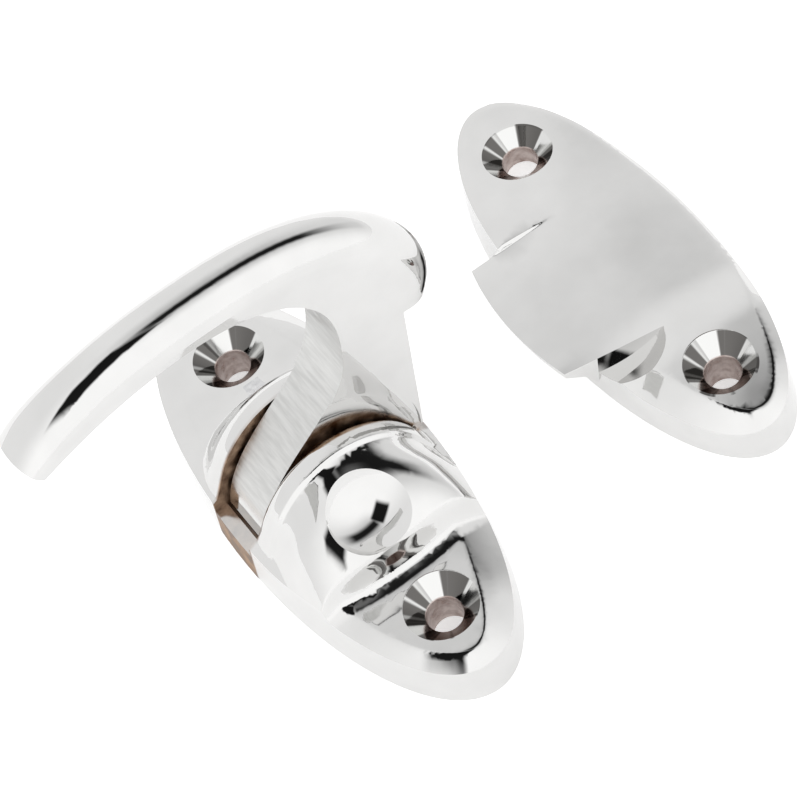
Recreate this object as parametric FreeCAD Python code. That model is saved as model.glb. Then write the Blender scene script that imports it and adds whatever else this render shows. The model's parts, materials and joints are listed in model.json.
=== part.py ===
import FreeCAD, Part
import math
import os

from FreeCAD import Vector

# Surface-mounted casement fastener: an elliptical base with a cam lever on a
# pivot that lies along the base, and the strike plate that the lever's nose
# hooks over.  All sizes are in millimetres.
#
# Frame: the origin is midway between the base's two screw holes, on its back
# face.  +Z points out of the window, +Y along the base, and +X towards the
# strike.  The shapes are drawn about the middle of the base's ellipse and moved
# to that frame by TO_FRAME as they are written.

# ---- driving dimensions: base ----
BASE_HALF_LENGTH = 31.75
BASE_HALF_WIDTH = 12.7
RIM_HEIGHT = 5.3
SKIRT_DRAFT = 0.1
PLATE_TOP = 6.9
PLATE_END_DROP = 0.7
LAND_MARGIN_LEFT = 2.0
LAND_MARGIN_RIGHT = 3.7
BREAK_SLOPE = 0.45
BREAK_CURVE = 0.04
BREAK_SOFTNESS = 0.14
SCREW_SPACING = 42.6
SCREW_CENTRE_Y = -1.6
TO_FRAME = Vector(0, -SCREW_CENTRE_Y, 0)
SCREW_RADIUS = 2.1
SINK_RADIUS = 4.25

# ---- driving dimensions: pivot, slot and housing ----
PIVOT_Z = 7.8
PIN_RADIUS = 1.5
RUNNING_CLEARANCE = 0.05
SLOT_NEAR_Y = -2.5
SLOT_FAR_Y = 5.0
LEDGE_GAP = 0.35
LOBE_GAP = 0.4
ARCH_HALF_WIDTH = 11.4
ARCH_TOP = 15.8
ARCH_FOOT = 2.0
COLLAR_LENGTH = 3.0
COLLAR_ROUND = 1.6
COLLAR_STEP = 0.35
COLLAR_STEP_LENGTH = 0.6
STEP_Y = -15.7
STEP_TOP = 10.8
STEP_SLOPE = 4.0
STEP_CURVE = 0.012
APRON_SLOPE = 0.27
APRON_RISE = 0.6
DIMPLE_CENTRE = (-0.4, -11.9)
DIMPLE_RADIUS = 5.0
DIMPLE_BALL = 6.6
BOSS_FALL_Y = 6.0
BOSS_FALL = 10.5
BOSS_FOOT = 3.0
PIN_NEAR_Y = -9.5
PIN_FAR_Y = 15.0
WASHER_THICKNESS = 0.35
WASHER_RADIUS = 6.0

# ---- driving dimensions: lever ----
LEVER_WIDTH = 7.2
HUB_REACH = 11.9
HUB_CORE_RADIUS = 7.0
NECK_FOOT_Z = 5.8
LOBE_FOOT_Z = 4.7
LOBE_X = -10.2
NECK_RIGHT_X = 12.0
CROWN_DEPTH = 3.4
TIP_THINNING = 1.6
TIP_THICKNESS = 2.7

# ---- driving dimensions: strike ----
STRIKE_X = 41.4
STRIKE_Y = 0.7
STRIKE_TURN = -1.5
STRIKE_HALF_LENGTH = 29.4
STRIKE_HALF_WIDTH = 11.1
STRIKE_SCREW_SPACING = 40.2
THIN_END_DROP = 1.5
ROLL_START_X = -2.0
ROLL_CURVE = 0.014
RIDGE_RISE = 0.7
DOME_TOP = 7.0
DOME_Y = -14.0
DOME_MARGIN_LEFT = 3.0
DOME_MARGIN_RIGHT = 1.4
EDGE_ROUND = 0.5
RIDGE_LENGTH = 0.3
POCKET_TIP = Vector(-1.9, -11.8, 0)
POCKET_CENTRE = Vector(-8.7, -8.2, 14.1)
POCKET_BALL = 11.0
LIP_TOP = 6.0
LIP_REACH = 15.0
LIP_CORNER = Vector(-13.2, -9.5, 0)
LIP_HIGH_Y = 9.2
LIP_EDGE_RADIUS = 36.0
LIP_EDGE_THICKNESS = 0.25
LIP_FOOT_Z = 1.8
LIP_RAMP_Z = 3.7
LIP_RAMP_START = 0.6

EXTRA = 5.0


def ellipse_wire(half_length, half_width, z):
    """A closed ellipse, long along Y, at the height z."""
    wire = Part.Wire([Part.Ellipse(Vector(0, 0, 0), half_length, half_width).toShape()])
    wire.rotate(Vector(0, 0, 0), Vector(0, 0, 1), 90)
    wire.translate(Vector(0, 0, z))
    return wire


def smooth_step(value):
    """Rises from 0 to 1 as value goes from 0 to 1, flat at both ends."""
    t = min(max(value, 0.0), 1.0)
    return t * t * (3 - 2 * t)


def soft_max(a, b, blend):
    """The larger of two heights, rounded where they are within blend of each other."""
    nearness = max(blend - abs(a - b), 0) / blend
    return max(a, b) + nearness * nearness * blend / 4


def soft_min(a, b, blend):
    """The smaller of two heights, rounded where they are within blend of each other."""
    return -soft_max(-a, -b, blend)


def spaced(start, end, step):
    """Evenly spaced values from start to end, no further apart than step."""
    count = math.ceil((end - start) / step)
    return [start + (end - start) * i / count for i in range(count + 1)]


def rows_between(*stations):
    """Values through the given (value, step) stations, each with its own spacing."""
    values = []
    for (start, step), (end, _) in zip(stations, stations[1:]):
        values += spaced(start, end, step)[:-1]
    return values + [stations[-1][0]]


def space_above(height, columns, rows):
    """The solid space above z = height(x, y), a smooth surface through a grid."""
    grid = [[Vector(x, y, height(x, y)) for y in rows] for x in columns]
    surface = Part.BSplineSurface()
    surface.interpolate(grid)
    return surface.toShape().extrude(Vector(0, 0, 6 * RIM_HEIGHT))


def skirted_blank(half_length, half_width):
    """A tall elliptical blank with a drafted skirt."""
    height = 3.5 * RIM_HEIGHT
    inset = SKIRT_DRAFT * height
    return Part.makeLoft([ellipse_wire(half_length, half_width, 0),
                          ellipse_wire(half_length - inset, half_width - inset, height)], True)


def rim_gap(x, y, half_length, half_width):
    """How far a point lies inside the rim of an ellipse with a drafted skirt."""
    long_radius = half_length - SKIRT_DRAFT * RIM_HEIGHT
    short_radius = half_width - SKIRT_DRAFT * RIM_HEIGHT
    ratio = math.hypot(x / short_radius, y / long_radius)
    if ratio == 0:
        return short_radius
    steepness = math.hypot(x / short_radius ** 2, y / long_radius ** 2)
    return (1 - ratio) * ratio / steepness


def edge_fall(gap, margin):
    """How far a plate has fallen beyond the soft line where its land breaks to the rim."""
    reach = max(min(margin - gap, margin + 1), -1)
    return soft_max(0, BREAK_SLOPE * reach + BREAK_CURVE * max(reach, 0) ** 2, BREAK_SOFTNESS)


def arch_height(x, half_width, top, fullness=2.0):
    """An arch across the base, elliptical or fuller, that falls steeply outside its width."""
    across = min(abs(x) / half_width, 1.0)
    outside = max(abs(x) / half_width - 1.0, 0.0)
    return (ARCH_FOOT + (top - ARCH_FOOT) * math.sqrt(1 - across ** fullness)
            - outside * half_width * STEP_SLOPE)


def plate_height(x, y):
    """The base's flat land, which breaks to a rounded rim along a soft line."""
    gap = rim_gap(x, y, BASE_HALF_LENGTH, BASE_HALF_WIDTH)
    margin = LAND_MARGIN_LEFT + (LAND_MARGIN_RIGHT - LAND_MARGIN_LEFT) * smooth_step(x / 6)
    top = PLATE_TOP - PLATE_END_DROP * (y / BASE_HALF_LENGTH) ** 2
    return top - edge_fall(gap, margin)


def step_line(x):
    """The y of the housing's bowed front step."""
    return STEP_Y + STEP_CURVE * x ** 2


def apron_rise(x, y):
    """The low ramp that leads up to the foot of the front step."""
    ramp_foot = step_line(x) - 0.4 - APRON_RISE / APRON_SLOPE
    ramp = soft_min(APRON_SLOPE * (y - ramp_foot), APRON_RISE, 0.1)
    fade = smooth_step((SLOT_NEAR_Y - COLLAR_LENGTH - y) / 6)
    return soft_max(0, ramp, 0.1) * fade


def near_height(x, y):
    """The base's near end: the plate, its apron and the tapering housing."""
    back = SLOT_NEAR_Y - COLLAR_LENGTH - y
    half_width = ARCH_HALF_WIDTH - COLLAR_STEP + 0.7 * smooth_step(back / 5)
    top = ARCH_TOP - COLLAR_STEP - 0.25 * back - 0.021 * back ** 2
    barrel = arch_height(x, half_width, top, 2 + 1.2 * smooth_step(back / 9))
    front = STEP_TOP + STEP_SLOPE * (y - step_line(x))
    return soft_max(plate_height(x, y) + apron_rise(x, y), soft_min(barrel, front, 1.0), 1.8)


def bead_fall(y):
    """The rounded-over end of the collar beside the lever; steep inside the slot."""
    reach = y - (SLOT_NEAR_Y - COLLAR_ROUND)
    round_end = 0.9 * COLLAR_ROUND
    arc = COLLAR_ROUND - math.sqrt(COLLAR_ROUND ** 2 - min(max(reach, 0.0), round_end) ** 2)
    beyond = 2 * max(reach - round_end, 0.0)
    return (arc + beyond) * (1 - smooth_step((y - SLOT_NEAR_Y - 0.6) / 5))


def far_height(x, y):
    """The rest of the base: the collar, then the boss that falls to the thin end."""
    fallen = smooth_step((y - BOSS_FALL_Y) / BOSS_FALL)
    top = ARCH_TOP - (ARCH_TOP - BOSS_FOOT) * fallen
    arch = arch_height(x, ARCH_HALF_WIDTH - 3.4 * fallen, top) - bead_fall(y)
    blend = 1.5 + 1.1 * smooth_step(y / 5)
    return soft_max(plate_height(x, y), arch, blend)


def strike_height(x, y):
    """The strike's top: flat by the lip, rolled off on the right, domed at one end."""
    flat = LIP_TOP - THIN_END_DROP * smooth_step((y - 2) / 28)
    roll = ROLL_CURVE * max(x - ROLL_START_X, 0.0) ** 2
    flat -= roll * (0.4 + 0.6 * smooth_step((24 - y) / 14))
    ridge = smooth_step((y - LIP_HIGH_Y) / RIDGE_LENGTH + 0.5)
    flat += RIDGE_RISE * ridge * smooth_step((-2 - x) / 8) * smooth_step((22 - y) / 14)
    domed = smooth_step((-y - 8) / 9)
    dome = DOME_TOP - 0.012 * x ** 2 - 0.006 * (y - DOME_Y) ** 2
    dome_margin = (DOME_MARGIN_LEFT
                   + (DOME_MARGIN_RIGHT - DOME_MARGIN_LEFT) * smooth_step((x + 6) / 8))
    gap = rim_gap(x, y, STRIKE_HALF_LENGTH, STRIKE_HALF_WIDTH)
    on_lip = smooth_step((y + 12.5) / 2) * (1 - ridge) * smooth_step(-x / 4)
    fall = edge_fall(gap, EDGE_ROUND + (dome_margin - EDGE_ROUND) * domed) * (1 - on_lip)
    return flat + (dome - flat) * domed - fall


def screw_hole(x, y, surface_z):
    """A through hole with a 90 degree countersink that opens at surface_z."""
    depth = SINK_RADIUS - SCREW_RADIUS
    shank = Part.makeCylinder(SCREW_RADIUS, 3 * RIM_HEIGHT, Vector(x, y, -RIM_HEIGHT))
    cone = Part.makeCone(SCREW_RADIUS, SINK_RADIUS, depth, Vector(x, y, surface_z - depth))
    mouth = Part.makeCylinder(SINK_RADIUS, RIM_HEIGHT, Vector(x, y, surface_z))
    return shank.fuse([cone, mouth])


def on_pivot(radius, y_from, y_to):
    """A cylinder on the pivot axis."""
    return Part.makeCylinder(radius, y_to - y_from, Vector(0, y_from, PIVOT_Z), Vector(0, 1, 0))


def base_height(x, y):
    """The top of the base casting, with a small step down from the collar."""
    collar = smooth_step((y - SLOT_NEAR_Y + COLLAR_LENGTH) / COLLAR_STEP_LENGTH + 0.5)
    near = near_height(x, y)
    return near + (far_height(x, y) - near) * collar


def base_blank():
    """The base casting before its slot, bore, dimple and screw holes are cut."""
    columns = spaced(-BASE_HALF_WIDTH - 1.5, BASE_HALF_WIDTH + 1.5, 0.35)
    end = BASE_HALF_LENGTH + 1.5
    collar_y = SLOT_NEAR_Y - COLLAR_LENGTH
    rows = rows_between((-end, 0.45), (STEP_Y - 3, 0.12), (STEP_Y + 1.8, 0.4),
                        (collar_y - 0.5, 0.08), (collar_y + 0.5, 0.2), (SLOT_NEAR_Y + 1.5, 0.5),
                        (end, 0.5))
    blank = skirted_blank(BASE_HALF_LENGTH, BASE_HALF_WIDTH)
    return blank.cut(space_above(base_height, columns, rows))


def slot_space():
    """The lever's slot: open under the hub, with a stop ledge on the right."""
    width = SLOT_FAR_Y - SLOT_NEAR_Y
    lobe_reach = math.hypot(LOBE_X, PIVOT_Z - LOBE_FOOT_Z) + LOBE_GAP
    left = Part.makeBox(40, width, 40, Vector(-40, SLOT_NEAR_Y, LOBE_FOOT_Z - LEDGE_GAP))
    right = Part.makeBox(40, width, 40, Vector(0, SLOT_NEAR_Y, NECK_FOOT_Z - LEDGE_GAP))
    core = on_pivot(HUB_CORE_RADIUS + LOBE_GAP, SLOT_NEAR_Y, SLOT_FAR_Y)
    left_half = Part.makeBox(40, width, 80, Vector(-40, SLOT_NEAR_Y, -40))
    lobe_sweep = on_pivot(lobe_reach, SLOT_NEAR_Y, SLOT_FAR_Y).common(left_half)
    return left.fuse([right, core, lobe_sweep])


def make_dimple():
    """The ball that sinks the round dimple square to the housing's sloping top."""
    x, y = DIMPLE_CENTRE
    probe = 0.5
    slope = (near_height(x, y + probe) - near_height(x, y - probe)) / (2 * probe)
    outward = Vector(0, -slope, 1).normalize()
    lift = math.sqrt(DIMPLE_BALL ** 2 - DIMPLE_RADIUS ** 2)
    return Part.makeSphere(DIMPLE_BALL, Vector(x, y, near_height(x, y)) + outward * lift)


def make_base():
    body = base_blank().cut(slot_space())
    cuts = [on_pivot(PIN_RADIUS, PIN_NEAR_Y, PIN_FAR_Y), make_dimple()]
    for side in (-1, 1):
        hole_y = SCREW_CENTRE_Y + side * SCREW_SPACING / 2
        cuts.append(screw_hole(0, hole_y, plate_height(0, hole_y)))
    return body.cut(cuts)


def at(x, z):
    """A point of the lever's side view."""
    return Vector(x, 0, z)


THROAT = at(14.5, 25.5)
NOSE = at(18.9, 25.1)
BACK_POINTS = [NOSE, at(19.9, 28.5), at(18.4, 34.5), at(13.2, 40.7), at(5.0, 44.9),
               at(-6.0, 46.4), at(-16.0, 45.9), at(-24.0, 43.6), at(-28.8, 40.6)]
BELLY_POINTS = [at(-21.0, 40.5), at(-12.0, 42.0), at(-4.0, 41.6),
                at(2.6, 38.8), at(6.2, 34.0), at(6.8, 28.0), at(4.9, 21.6),
                at(-1.2, 15.9), at(-7.4, 10.4), at(LOBE_X, LOBE_FOOT_Z)]


def crown_depth(t):
    """How far the crowned back falls at the sides, from nose (t=0) to tip (t=1)."""
    return CROWN_DEPTH - TIP_THINNING * smooth_step(5 * t - 4)


def crown_surface(near_y):
    """The rounded back of the lever, a half ellipse across at every station."""
    back = Part.BSplineCurve()
    back.interpolate(BACK_POINTS)
    stations = 29
    across = 13
    grid = []
    for i in range(stations):
        t = i / (stations - 1)
        value = back.FirstParameter + t * (back.LastParameter - back.FirstParameter)
        along = back.tangent(value)[0]
        inward = (THROAT - NOSE).normalize() if i == 0 else Vector(-along.z, 0, along.x)
        grid.append([])
        for j in range(across):
            angle = math.pi * (j / (across - 1) - 0.5)
            fall = inward * (crown_depth(t) * (1 - math.cos(angle)))
            side = Vector(0, near_y + LEVER_WIDTH / 2 * (1 + math.sin(angle)), 0)
            grid[-1].append(back.value(value) + fall + side)
    surface = Part.BSplineSurface()
    surface.interpolate(grid)
    return surface


def face_round(edges):
    """A flat face inside a loop of edges given in any order."""
    return Part.Face(Part.Wire(Part.__sortEdges__(edges)))


def on_core(side, z):
    """The point of the hub's round core at the height z, on one side of the pivot."""
    return at(side * math.sqrt(HUB_CORE_RADIUS ** 2 - (PIVOT_Z - z) ** 2), z)


def lever_walls(near_y, tip_end):
    """The near edges of the lever's neck, belly and hub, in the plane at near_y."""
    foot = at(NECK_RIGHT_X, NECK_FOOT_Z)
    lobe = BELLY_POINTS[-1]
    core_left = on_core(-1, LOBE_FOOT_Z)
    core_right = on_core(1, NECK_FOOT_Z)
    core_low = at(0, PIVOT_Z - HUB_CORE_RADIUS)
    belly = Part.BSplineCurve()
    belly.interpolate([tip_end] + BELLY_POINTS)
    walls = [Part.makeLine(foot, THROAT), belly.toShape(), Part.makeLine(lobe, core_left),
             Part.Arc(core_left, core_low, core_right).toShape(),
             Part.makeLine(core_right, foot)]
    return [wall.translated(Vector(0, near_y, 0)) for wall in walls]


def make_lever_blank(near_y):
    """The lever before its hub is trimmed: flat belly and sides, rounded back."""
    to_near = Vector(0, near_y, 0)
    across = Vector(0, LEVER_WIDTH, 0)
    crown = crown_surface(near_y)
    nose_u, tip_u, near_v, far_v = crown.bounds()
    nose_side = crown.value(nose_u, near_v)
    tip_side = crown.value(tip_u, near_v)
    tip_back = BACK_POINTS[-1] + to_near
    tip_end = tip_back + (tip_side - tip_back).normalize() * TIP_THICKNESS
    throat = THROAT + to_near
    walls = lever_walls(near_y, tip_end - to_near)
    ledge = Part.makeLine(throat, nose_side)
    tip = Part.makeLine(tip_side, tip_end)
    side_face = face_round(walls + [ledge, tip, crown.vIso(near_v).toShape()])
    faces = [side_face, side_face.translated(across), crown.toShape()]
    faces += [wall.extrude(across) for wall in walls]
    for arc_u, edge, end in ((nose_u, ledge, throat), (tip_u, tip, tip_end)):
        faces.append(face_round([crown.uIso(arc_u).toShape(), edge, edge.translated(across),
                                 Part.makeLine(end, end + across)]))
    shell = Part.makeShell(faces)
    shell.sewShape()
    return Part.makeSolid(shell)


def make_lever():
    """The lever: flat on its belly, rounded over its back, trimmed at the hub."""
    near_y = (SLOT_NEAR_Y + SLOT_FAR_Y - LEVER_WIDTH) / 2
    far_y = near_y + LEVER_WIDTH
    hub_near = SLOT_NEAR_Y + WASHER_THICKNESS + RUNNING_CLEARANCE
    hub_far = SLOT_FAR_Y - WASHER_THICKNESS - RUNNING_CLEARANCE
    return make_lever_blank(near_y).cut([
        on_pivot(HUB_REACH, near_y - EXTRA, hub_near),
        on_pivot(HUB_REACH, hub_far, far_y + EXTRA),
        on_pivot(PIN_RADIUS + RUNNING_CLEARANCE, near_y - 1, far_y + 1)])


def make_pin():
    """The pivot pin, pressed in from the far side and filed flush with the boss."""
    return on_pivot(PIN_RADIUS, PIN_NEAR_Y, PIN_FAR_Y).common(base_blank())


def make_washer(y_from):
    """A thin friction washer between the hub and a wall of the slot."""
    disc = on_pivot(WASHER_RADIUS, y_from, y_from + WASHER_THICKNESS)
    return disc.cut(on_pivot(PIN_RADIUS + RUNNING_CLEARANCE, y_from - EXTRA, y_from + EXTRA))


def below_wall():
    """All space on the low side of the wall that ends the lip and the flat beside it."""
    block = Part.makeBox(100, 100, 100, Vector(-50, -100, -50))
    along = POCKET_TIP - LIP_CORNER
    block.rotate(Vector(0, 0, 0), Vector(0, 0, 1), math.degrees(math.atan2(along.y, along.x)))
    block.translate(Vector(LIP_CORNER.x, LIP_CORNER.y, 0))
    return block


def make_pocket():
    """The leaf-shaped pocket beside the lip, sunk by a ball and ended by the lip's wall."""
    return Part.makeSphere(POCKET_BALL, POCKET_CENTRE).common(below_wall())


def lip_blank():
    """The strike's lip, ramped underneath to a thin rounded edge, before it is topped."""
    ramp_foot_x = -STRIKE_HALF_WIDTH - LIP_RAMP_START
    blank_top = 3 * RIM_HEIGHT
    low_y = POCKET_TIP.y
    corners = [Vector(-LIP_REACH, low_y, LIP_TOP - LIP_EDGE_THICKNESS),
               Vector(-LIP_REACH, low_y, blank_top),
               Vector(0, low_y, blank_top),
               Vector(0, low_y, LIP_FOOT_Z),
               Vector(-STRIKE_HALF_WIDTH + LIP_RAMP_START, low_y, LIP_FOOT_Z),
               Vector(ramp_foot_x, low_y, LIP_RAMP_Z)]
    face = Part.Face(Part.makePolygon(corners + [corners[0]]))
    block = face.extrude(Vector(0, LIP_HIGH_Y - low_y, 0))
    rounded = Part.makeCylinder(LIP_EDGE_RADIUS, 100,
                                Vector(LIP_EDGE_RADIUS - LIP_REACH, 0, -50))
    return block.common(rounded).cut(below_wall())


def make_strike():
    columns = spaced(-LIP_REACH - 1.5, STRIKE_HALF_WIDTH + 1.5, 0.4)
    end = STRIKE_HALF_LENGTH + 1.5
    rows = rows_between((-end, 0.4), (LIP_CORNER.y, 0.5), (LIP_HIGH_Y - 0.5, 0.07),
                        (LIP_HIGH_Y + 0.5, 0.5), (end, 0.5))
    blank = skirted_blank(STRIKE_HALF_LENGTH, STRIKE_HALF_WIDTH).fuse(lip_blank())
    cuts = [make_pocket()]
    for side in (-1, 1):
        hole_y = side * STRIKE_SCREW_SPACING / 2
        cuts.append(screw_hole(0, hole_y, strike_height(0, hole_y)))
    body = blank.cut(space_above(strike_height, columns, rows)).cut(cuts)
    body.rotate(Vector(0, 0, 0), Vector(0, 0, 1), STRIKE_TURN)
    body.translate(Vector(STRIKE_X, STRIKE_Y, 0))
    return body


PARTS = {
    "fastener_base": make_base,
    "cam_lever": make_lever,
    "pivot_pin": make_pin,
    "near_washer": lambda: make_washer(SLOT_NEAR_Y),
    "far_washer": lambda: make_washer(SLOT_FAR_Y - WASHER_THICKNESS),
    "strike_plate": make_strike,
}

os.makedirs("parts", exist_ok=True)
for node, make in PARTS.items():
    shape = make()
    if len(shape.Solids) == 1:
        shape = shape.Solids[0]
    shape.translate(TO_FRAME)
    print(node, len(shape.Solids), "solid", shape.isValid(), round(shape.Volume, 1), "mm3")
    shape.exportStep(os.path.join("parts", node + ".step"))
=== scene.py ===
import json
import math

import bpy
from mathutils import Matrix, Vector


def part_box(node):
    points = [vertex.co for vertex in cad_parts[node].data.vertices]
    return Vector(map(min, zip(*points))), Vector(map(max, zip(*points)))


# A polished chrome window fastener and its strike plate, lying on a white
# table in a light tent.  The CAD nodes keep their shapes; this script gives
# them their metals, and sets the table, the tent and the camera.

MM = 0.001

# The camera stands above the near left of the set and looks down at it.
CAMERA_PLACE = Vector((-42.65, -180.6, 290.2)) * MM
CAMERA_RIGHT = Vector((0.7995, -0.5623, -0.2110))
CAMERA_UP = Vector((0.5793, 0.6295, 0.5178))
CAMERA_LENS = 138.1
CAMERA_CLIP = (0.01, 20.0)
SENSOR_WIDTH = 36.0

# The table: its side in metres, its own glow as the camera sees it, and its
# own glow as it lights the metal.
TABLE_SIDE = 3.0
TABLE_GLOW = 0.55
TABLE_BOUNCE = 0.42

# The tent's brightness on the camera's side and on the far side, and the
# stretch of TENT_AXIS over which the one turns into the other.
TENT_NEAR_LEVEL = 1.35
TENT_FAR_LEVEL = 1.05
TENT_SEEN_LEVEL = 1.0
TENT_AXIS = (0.1, 1, 0)
TENT_CHANGE = (-0.55, 0.35)

# Dark strips on the tent, each from overhead down to one side: azimuth from
# +X, lowest elevation, half width and soft edge in degrees, and darkness.
DARK_ARMS = ((13.0, 17.0, 8.0, 5.0, 0.98), (212.0, 52.0, 13.0, 3.0, 0.99),
             (20.0, 18.0, 20.0, 14.0, 0.4))

# The countersinks' radius, how far each plate is turned on the table, the middle
# of the gap under the lever's arm, how far the brown stain reaches past the slot,
# and how far the dark brown reaches over the hub.
SINK_RADIUS = 4.25 * MM
PLATES_LEAN = {"fastener_screws": 0.0, "strike_screws": math.radians(1.5)}
GAP_CENTRE_X = -8 * MM
GAP_CENTRE_Z = 28 * MM
SEAM_STAIN = 0.5 * MM
HUB_BROWN_RADIUS = 9.6 * MM
HUB_BROWN_EDGE = 1.2 * MM

# Finishes, and the painted reflections laid into the countersinks: the darker and the lighter colour, and the
# roughness of each.
CHROME = ((0.668, 0.665, 0.658), (0.705, 0.702, 0.695)), (0.02, 0.05)
BRONZE = ((0.16, 0.075, 0.03), (0.45, 0.27, 0.14)), (0.3, 0.5)
# The next colours are painted reflections: dark and bright bands in the countersinks.
SINK_PAINTED_REFLECTIONS = ((0.12, 0.115, 0.11), (0.70, 0.70, 0.69)), (0.06, 0.12)
BROWNED_HOLE = ((0.34, 0.26, 0.235), (0.66, 0.58, 0.55)), (0.25, 0.45)
SLOT_STAIN = ((0.10, 0.05, 0.025), (0.42, 0.29, 0.20)), (0.35, 0.6)
DARK_BROWN_HUB = ((0.14, 0.07, 0.035), (0.50, 0.38, 0.28)), (0.3, 0.5)
GROUND_BELLY = ((0.56, 0.56, 0.55), (0.68, 0.68, 0.67)), (0.34, 0.5)
STEEL_COLOURS = (0.55, 0.55, 0.56), (0.72, 0.72, 0.72)
STEEL_ROUGHNESS = 0.22
TABLE_COLOURS = (0.86, 0.86, 0.86), (0.90, 0.90, 0.90)
TABLE_ROUGHNESS = 0.9

# Where a noise's values turn from a finish's first colour to its second, in a whole metal and in a finish or
# painted reflection that is laid over it.
METAL_SPLIT = (0.3, 0.7)
OVERLAY_SPLIT = (0.35, 0.65)


def new_material(name):
    """A new node material, with its node tree and its main shader."""
    material = bpy.data.materials.new(name)
    material.use_nodes = True
    tree = material.node_tree
    shader = tree.nodes["Principled BSDF"]
    return material, tree, shader


def own(tree, name):
    """The piece's own coordinates or normals, which move with it."""
    return tree.nodes.new("ShaderNodeTexCoord").outputs[name]


def calculate(tree, operation, *values):
    """A maths node on sockets or plain numbers, and its result."""
    node = tree.nodes.new("ShaderNodeMath")
    node.operation = operation
    for socket, value in zip(node.inputs, values):
        if isinstance(value, (int, float)):
            socket.default_value = value
        else:
            tree.links.new(value, socket)
    return node.outputs["Value"]


def vector_math(tree, operation, first, second=None):
    """A vector maths node on a socket and another socket or three plain numbers."""
    node = tree.nodes.new("ShaderNodeVectorMath")
    node.operation = operation
    tree.links.new(first, node.inputs[0])
    if isinstance(second, bpy.types.NodeSocket):
        tree.links.new(second, node.inputs[1])
    elif second is not None:
        node.inputs[1].default_value = second
    return node


def along(tree, direction, axis):
    """How far a direction points along an axis."""
    return vector_math(tree, "DOT_PRODUCT", direction, axis).outputs["Value"]


def off_axis(tree, centre, across):
    """The distance from an axis through centre; across is 0 along the axis and 1 elsewhere."""
    offset = vector_math(tree, "SUBTRACT", own(tree, "Object"), centre)
    flat = vector_math(tree, "MULTIPLY", offset.outputs["Vector"], across)
    return vector_math(tree, "LENGTH", flat.outputs["Vector"]).outputs["Value"]


def away_from(tree, centre, across):
    """The direction away from an axis through centre; across as in off_axis."""
    offset = vector_math(tree, "SUBTRACT", own(tree, "Object"), centre)
    flat = vector_math(tree, "MULTIPLY", offset.outputs["Vector"], across)
    return vector_math(tree, "NORMALIZE", flat.outputs["Vector"]).outputs["Vector"]


def add_noise(tree, scale, detail, roughness=0.5, place=None):
    """A noise texture at a place, by default the object's own coordinates."""
    if place is None:
        place = own(tree, "Object")
    noise = tree.nodes.new("ShaderNodeTexNoise")
    noise.inputs["Scale"].default_value = scale
    noise.inputs["Detail"].default_value = detail
    noise.inputs["Roughness"].default_value = roughness
    tree.links.new(place, noise.inputs["Vector"])
    return noise.outputs["Fac"]


def add_range(tree, source, from_low, from_high, to_low, to_high):
    """Maps one range of values onto another."""
    node = tree.nodes.new("ShaderNodeMapRange")
    node.inputs["From Min"].default_value = from_low
    node.inputs["From Max"].default_value = from_high
    node.inputs["To Min"].default_value = to_low
    node.inputs["To Max"].default_value = to_high
    tree.links.new(source, node.inputs["Value"])
    return node


def ease(tree, value, start, end, low=0.0, high=1.0):
    """Goes smoothly from low to high as value goes from start to end."""
    node = add_range(tree, value, start, end, low, high)
    node.interpolation_type = "SMOOTHSTEP"
    return node.outputs["Result"]


def add_ramp(tree, source, split, colours):
    """A colour ramp from the first to the second of two colours, over a split of two values."""
    ramp = tree.nodes.new("ShaderNodeValToRGB")
    for element, position, colour in zip(ramp.color_ramp.elements, split, colours):
        element.position = position
        element.color = (*colour, 1)
    tree.links.new(source, ramp.inputs["Fac"])
    return ramp.outputs["Color"]


def add_bump(tree, shader, height, strength, distance):
    """Bumps the shader's normal by a height."""
    bump = tree.nodes.new("ShaderNodeBump")
    bump.inputs["Strength"].default_value = strength
    bump.inputs["Distance"].default_value = distance
    tree.links.new(height, bump.inputs["Height"])
    tree.links.new(bump.outputs["Normal"], shader.inputs["Normal"])


def new_metal(name, colours_and_haze, cloud_scale, cloud_detail, metallic=1.0):
    """A metal whose colour and roughness vary in soft clouds."""
    material, tree, shader = new_material(name)
    colours, haze = colours_and_haze
    shader.inputs["Metallic"].default_value = metallic
    cloud = add_noise(tree, cloud_scale, cloud_detail)
    tree.links.new(add_ramp(tree, cloud, METAL_SPLIT, colours), shader.inputs["Base Color"])
    rough = add_range(tree, cloud, *METAL_SPLIT, *haze)
    tree.links.new(rough.outputs["Result"], shader.inputs["Roughness"])
    return material


def polish(name):
    """Polished chrome plate: a mirror with faint polishing waves."""
    material = new_metal(name, CHROME, cloud_scale=180.0, cloud_detail=3.0)
    tree = material.node_tree
    waves = add_noise(tree, scale=260.0, detail=1.0)
    add_bump(tree, tree.nodes["Principled BSDF"], waves, strength=0.12, distance=0.2 * MM)
    return material


def lay_over(material, mask, cloud, colours_and_haze):
    """Lays another finish, or painted reflections, over the metal where mask is 1."""
    tree = material.node_tree
    shader = tree.nodes["Principled BSDF"]
    colours, haze = colours_and_haze
    tint = add_ramp(tree, cloud, OVERLAY_SPLIT, colours)
    rough = add_range(tree, cloud, *OVERLAY_SPLIT, *haze)
    colour_mix = tree.nodes.new("ShaderNodeMix")
    colour_mix.data_type = "RGBA"
    below, above, result = colour_mix.inputs[6], colour_mix.inputs[7], colour_mix.outputs[2]
    tree.links.new(mask, colour_mix.inputs["Factor"])
    tree.links.new(shader.inputs["Base Color"].links[0].from_socket, below)
    tree.links.new(tint, above)
    tree.links.new(result, shader.inputs["Base Color"])
    rough_mix = tree.nodes.new("ShaderNodeMix")
    tree.links.new(mask, rough_mix.inputs["Factor"])
    tree.links.new(shader.inputs["Roughness"].links[0].from_socket, rough_mix.inputs["A"])
    tree.links.new(rough.outputs["Result"], rough_mix.inputs["B"])
    tree.links.new(rough_mix.outputs["Result"], shader.inputs["Roughness"])


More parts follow.
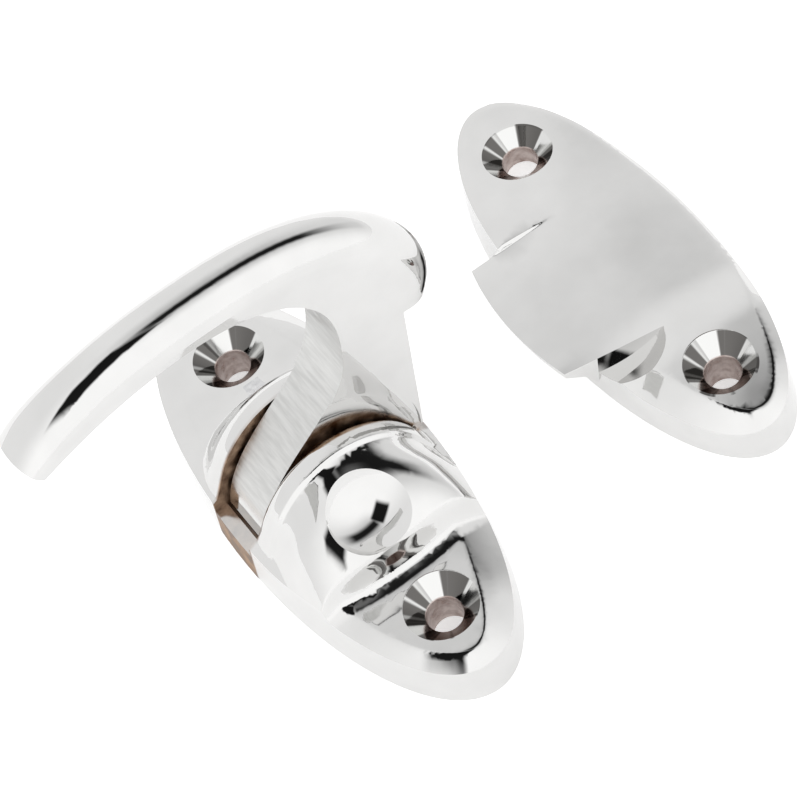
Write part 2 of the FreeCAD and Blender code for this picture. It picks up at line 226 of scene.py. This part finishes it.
def hole_centres(mount):
    """The centres of a plate's two round holes, on a line near to the Y axis."""
    dims = mount["dims"]
    spacing = dims.get("spacing_y_mm", dims.get("pcd_mm")) * MM
    lean = PLATES_LEAN[mount["name"]]
    half_way = Vector((math.sin(lean), math.cos(lean), 0)) * spacing / 2
    return [Vector(mount["pos_m"]) - half_way, Vector(mount["pos_m"]) + half_way]


def dress_holes(material, mount):
    """Painted reflections: dark and bright bands in a mount's countersinks; and browned metal down its holes."""
    tree = material.node_tree
    radius = mount["dims"]["hole_r_mm"] * MM
    across = (1, 1, 0)
    for centre in hole_centres(mount):
        distance = off_axis(tree, centre, across)
        in_sink = ease(tree, distance, SINK_RADIUS - 0.05 * MM, SINK_RADIUS, 1.0, 0.0)
        around = vector_math(tree, "ADD", away_from(tree, centre, across), (2, 5, 4))
        reflection_bands = add_noise(tree, scale=1.0, detail=3.0, roughness=0.55,
                          place=around.outputs["Vector"])
        # Painted reflections: dark and bright bands laid into the countersink as colour.
        lay_over(material, in_sink, ease(tree, reflection_bands, 0.34, 0.57), SINK_PAINTED_REFLECTIONS)
        down_hole = ease(tree, distance, radius + 0.02 * MM, radius + 0.15 * MM, 1.0, 0.0)
        lay_over(material, down_hole, add_noise(tree, scale=900.0, detail=4.0), BROWNED_HOLE)


def between_washers(tree, margin):
    """1 in the base's slot, between the washers' outer faces; less where the metal faces up."""
    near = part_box("near_washer")[0][1]
    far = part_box("far_washer")[1][1]
    place = tree.nodes.new("ShaderNodeSeparateXYZ")
    tree.links.new(own(tree, "Object"), place.inputs["Vector"])
    off_middle = calculate(tree, "ABSOLUTE",
                           calculate(tree, "SUBTRACT", place.outputs["Y"], (near + far) / 2))
    half = (far - near) / 2
    inside = ease(tree, off_middle, half, half + margin, 1.0, 0.0)
    normal = tree.nodes.new("ShaderNodeSeparateXYZ")
    tree.links.new(own(tree, "Normal"), normal.inputs["Vector"])
    wiped = ease(tree, normal.outputs["Z"], 0.6, 0.9, 1.0, 0.25)
    return calculate(tree, "MULTIPLY", inside, wiped)


def base_chrome():
    """The base's chrome, browned in its slot and in its screw holes, with painted reflections in its countersinks.
    """
    material = polish("base_chrome")
    tree = material.node_tree
    stain = add_noise(tree, scale=600.0, detail=5.0)
    lay_over(material, between_washers(tree, SEAM_STAIN), stain, SLOT_STAIN)
    dress_holes(material, MOUNTS["fastener_screws"])
    return material


def strike_chrome():
    """The strike's chrome, browned in its screw holes, with painted reflections in its countersinks."""
    material = polish("strike_chrome")
    dress_holes(material, MOUNTS["strike_screws"])
    return material


def lever_chrome():
    """The lever's chrome, dark brown on its hub's sides, with a ground, unpolished belly."""
    material = polish("lever_chrome")
    tree = material.node_tree
    across = (1, 0, 1)
    pivot = frame["joints"][0]["pos_m"]
    # Dark brown on the lever within a set distance of the pivot's axis.
    hub = ease(tree, off_axis(tree, pivot, across), HUB_BROWN_RADIUS - HUB_BROWN_EDGE, HUB_BROWN_RADIUS,
               1.0, 0.0)
    lay_over(material, hub, add_noise(tree, scale=600.0, detail=5.0), DARK_BROWN_HUB)
    low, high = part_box("cam_lever")
    gap_centre = (GAP_CENTRE_X, (low[1] + high[1]) / 2, GAP_CENTRE_Z)
    outward = away_from(tree, gap_centre, across)
    facing_gap = calculate(tree, "MULTIPLY", along(tree, outward, own(tree, "Normal")), -1.0)
    belly = ease(tree, facing_gap, 0.3, 0.5)
    stretched = vector_math(tree, "MULTIPLY", own(tree, "Object"), (1, 0.12, 1))
    grain = add_noise(tree, scale=2500.0, detail=4.0, place=stretched.outputs["Vector"])
    lay_over(material, belly, grain, GROUND_BELLY)
    return material


def steel():
    """The filed end of the steel pin."""
    material, tree, shader = new_material("filed_steel")
    shader.inputs["Metallic"].default_value = 1.0
    cloud = add_noise(tree, scale=1500.0, detail=5.0)
    tree.links.new(add_ramp(tree, cloud, METAL_SPLIT, STEEL_COLOURS),
                   shader.inputs["Base Color"])
    shader.inputs["Roughness"].default_value = STEEL_ROUGHNESS
    add_bump(tree, shader, cloud, strength=0.2, distance=0.05 * MM)
    return material


def dress(node, material):
    """Gives a CAD node one material."""
    piece = frame["nodes"][node]
    piece.data.materials.clear()
    piece.data.materials.append(material)


def make_camera():
    """The camera at the place and tilt that the constants give."""
    data = bpy.data.cameras.new("camera")
    data.lens = CAMERA_LENS
    data.sensor_width = SENSOR_WIDTH
    data.clip_start, data.clip_end = CAMERA_CLIP
    camera = bpy.data.objects.new("camera", data)
    bpy.context.scene.collection.objects.link(camera)
    right = CAMERA_RIGHT.normalized()
    back = right.cross(CAMERA_UP).normalized()
    up = back.cross(right)
    turn = Matrix((right, up, back)).transposed().to_4x4()
    camera.matrix_world = Matrix.Translation(CAMERA_PLACE) @ turn
    bpy.context.scene.camera = camera


def make_floor():
    """A white light table under the set: it glows a little, so shadows stay pale."""
    bpy.ops.mesh.primitive_plane_add(size=TABLE_SIDE, location=(0, 0, 0))
    floor = bpy.context.object
    floor.name = "floor"
    material, tree, shader = new_material("white_table")
    grain = add_noise(tree, scale=40.0, detail=2.0)
    tree.links.new(add_ramp(tree, grain, (0.0, 1.0), TABLE_COLOURS),
                   shader.inputs["Base Color"])
    shader.inputs["Roughness"].default_value = TABLE_ROUGHNESS
    shader.inputs["Emission Color"].default_value = (1, 1, 1, 1)
    path = tree.nodes.new("ShaderNodeLightPath")
    glow = add_range(tree, path.outputs["Is Camera Ray"], 0.0, 1.0, TABLE_BOUNCE, TABLE_GLOW)
    tree.links.new(glow.outputs["Result"], shader.inputs["Emission Strength"])
    floor.data.materials.append(material)


def dark_arm(tree, direction, azimuth, lowest, half_width, edge):
    """A dark strip on the tent, from overhead down to one side.  Angles in degrees."""
    turn = math.radians(azimuth)
    outward = along(tree, direction, (math.cos(turn), math.sin(turn), 0))
    sideways = along(tree, direction, (-math.sin(turn), math.cos(turn), 0))
    width = math.sin(math.radians(half_width))
    soft = math.sin(math.radians(edge))
    reach = math.cos(math.radians(lowest))
    beside = calculate(tree, "ABSOLUTE", sideways)
    strip = ease(tree, beside, width - soft, width + soft, 1.0, 0.0)
    start = ease(tree, outward, -soft, soft)
    stop = ease(tree, outward, reach - 2 * soft, reach + soft, 1.0, 0.0)
    above = ease(tree, along(tree, direction, (0, 0, 1)), 0.0, 0.1)
    return calculate(tree, "MULTIPLY", calculate(tree, "MULTIPLY", strip, start),
                     calculate(tree, "MULTIPLY", stop, above))


def make_world():
    """The white tent: brighter on the camera's side, with dark strips overhead."""
    world = bpy.data.worlds.new("tent")
    bpy.context.scene.world = world
    world.use_nodes = True
    tree = world.node_tree
    background = tree.nodes["Background"]
    direction = own(tree, "Generated")
    level = ease(tree, along(tree, direction, TENT_AXIS), *TENT_CHANGE,
                 TENT_NEAR_LEVEL, TENT_FAR_LEVEL)
    for azimuth, lowest, half_width, edge, darkness in DARK_ARMS:
        arm = dark_arm(tree, direction, azimuth, lowest, half_width, edge)
        level = calculate(tree, "MULTIPLY", level, calculate(
            tree, "SUBTRACT", 1.0, calculate(tree, "MULTIPLY", arm, darkness)))
    path = tree.nodes.new("ShaderNodeLightPath")
    seen = tree.nodes.new("ShaderNodeMix")
    tree.links.new(path.outputs["Is Camera Ray"], seen.inputs["Factor"])
    tree.links.new(level, seen.inputs["A"])
    seen.inputs["B"].default_value = TENT_SEEN_LEVEL
    tree.links.new(seen.outputs["Result"], background.inputs["Strength"])
    background.inputs["Color"].default_value = (1, 1, 1, 1)


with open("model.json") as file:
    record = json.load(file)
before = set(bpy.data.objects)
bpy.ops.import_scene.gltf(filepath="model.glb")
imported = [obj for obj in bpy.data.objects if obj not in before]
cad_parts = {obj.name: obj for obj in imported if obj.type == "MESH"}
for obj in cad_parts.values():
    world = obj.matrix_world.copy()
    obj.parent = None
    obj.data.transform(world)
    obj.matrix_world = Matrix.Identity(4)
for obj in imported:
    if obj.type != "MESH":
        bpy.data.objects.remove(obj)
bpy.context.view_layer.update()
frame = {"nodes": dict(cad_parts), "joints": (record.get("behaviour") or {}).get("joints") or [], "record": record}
make_camera()
make_floor()
make_world()
bpy.context.scene.view_settings.view_transform = "Standard"
MOUNTS = {mount["name"]: mount for mount in frame["record"]["mounts"]}
dress("fastener_base", base_chrome())
dress("strike_plate", strike_chrome())
dress("cam_lever", lever_chrome())
dress("pivot_pin", steel())
for washer in ("near_washer", "far_washer"):
    dress(washer, new_metal("oiled_bronze", BRONZE, cloud_scale=900.0, cloud_detail=4.0,
                            metallic=0.9))
